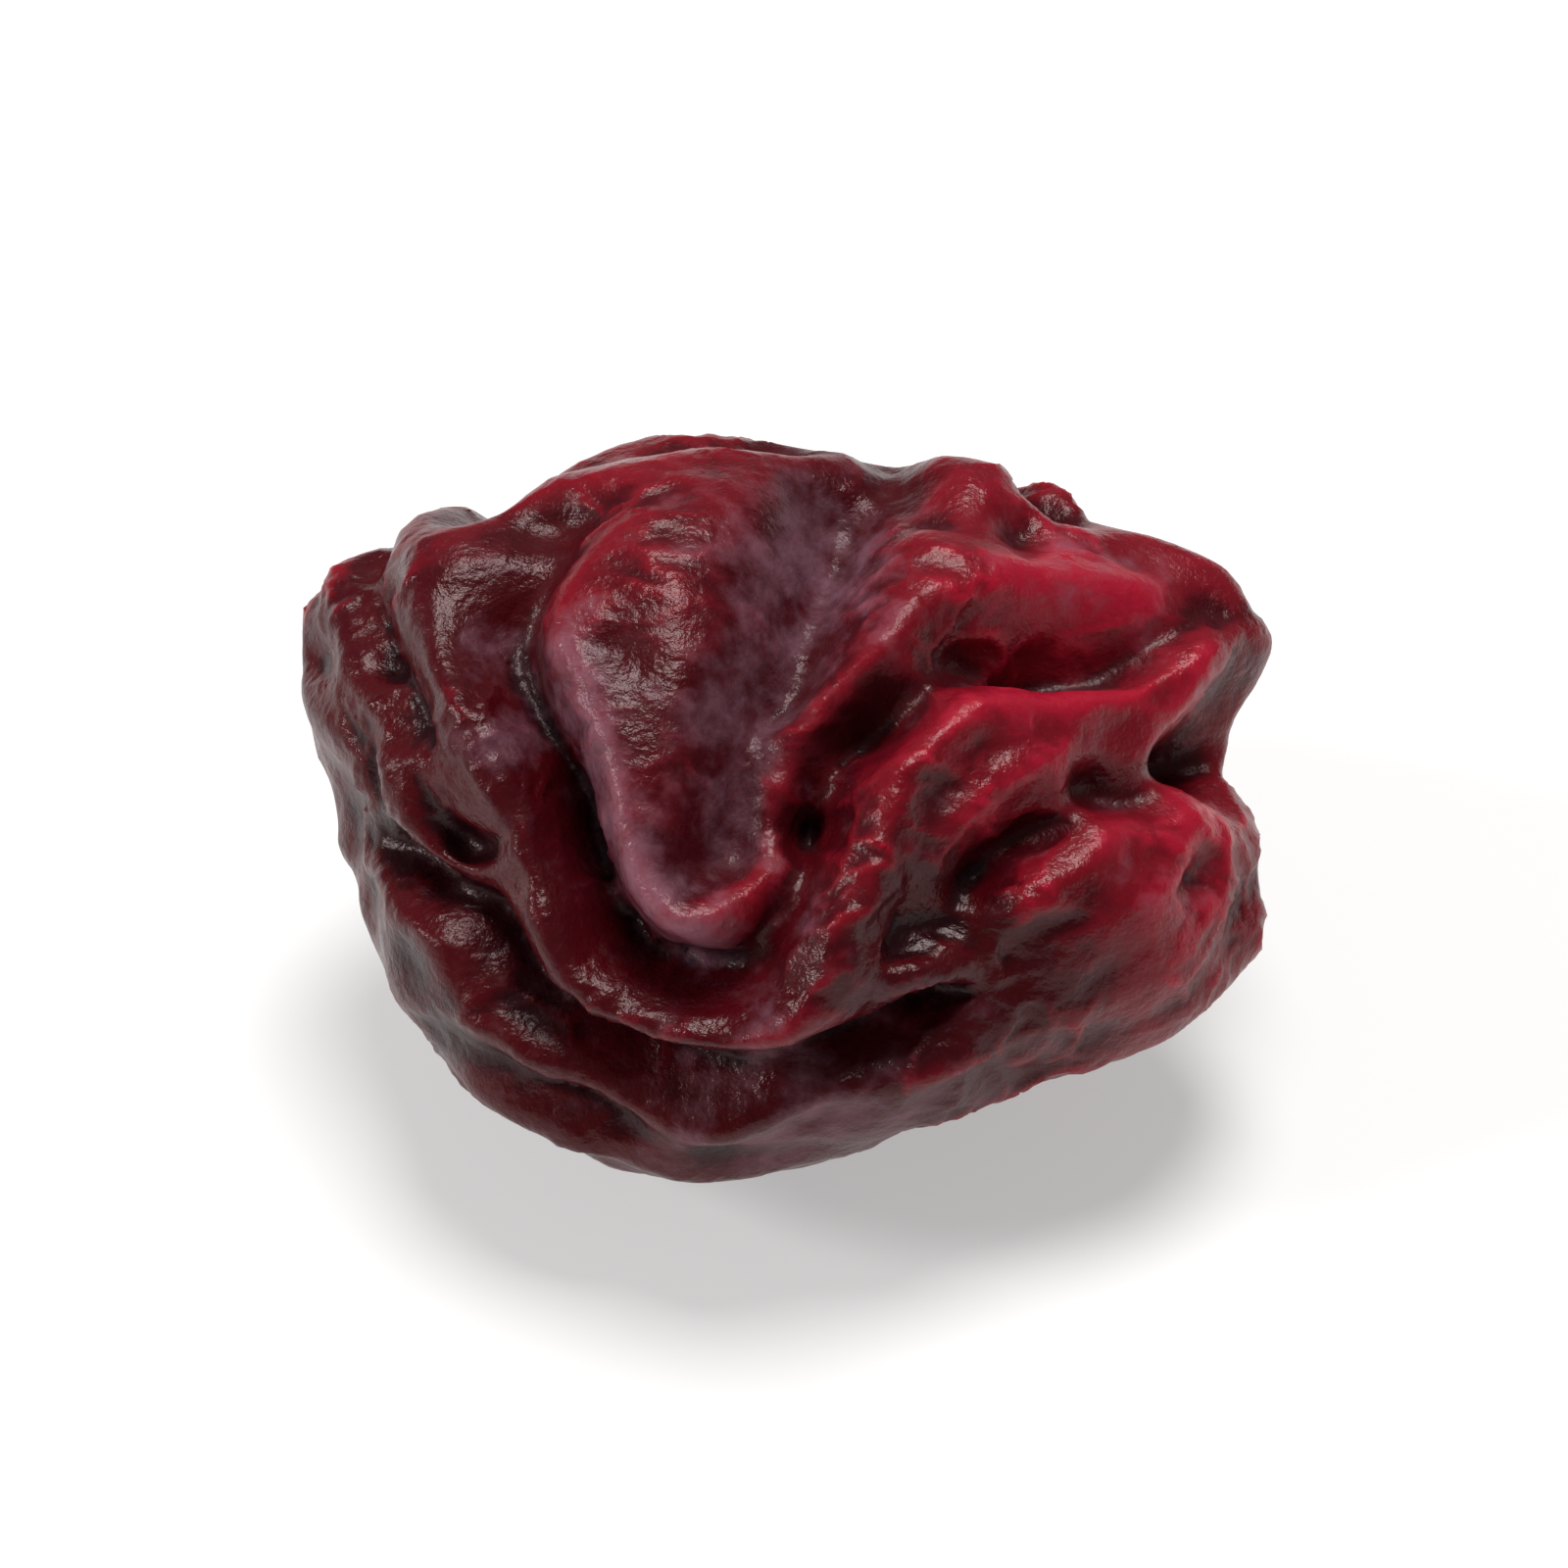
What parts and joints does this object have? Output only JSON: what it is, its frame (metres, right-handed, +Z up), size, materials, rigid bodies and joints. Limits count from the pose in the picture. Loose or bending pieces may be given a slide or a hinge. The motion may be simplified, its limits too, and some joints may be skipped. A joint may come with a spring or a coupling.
{
  "type": "dried cranberry",
  "caption": "Whole dried cranberry: a shrivelled, deeply folded glossy dark red berry that lies on a small flat spot.",
  "frame": {"origin": "on the surface that the berry lies on, under the middle of its bounding box", "axes": "+Z up, +X along the berry from the stem end to the blossom end, -Y towards the side with the tongue-shaped fold"},
  "size_m": [0.0138, 0.012, 0.0091],
  "materials": {
    "skin": "gloss"
  },
  "bodies": {
    "root": {"dried_cranberry": "skin"}
  },
  "joints": []
}
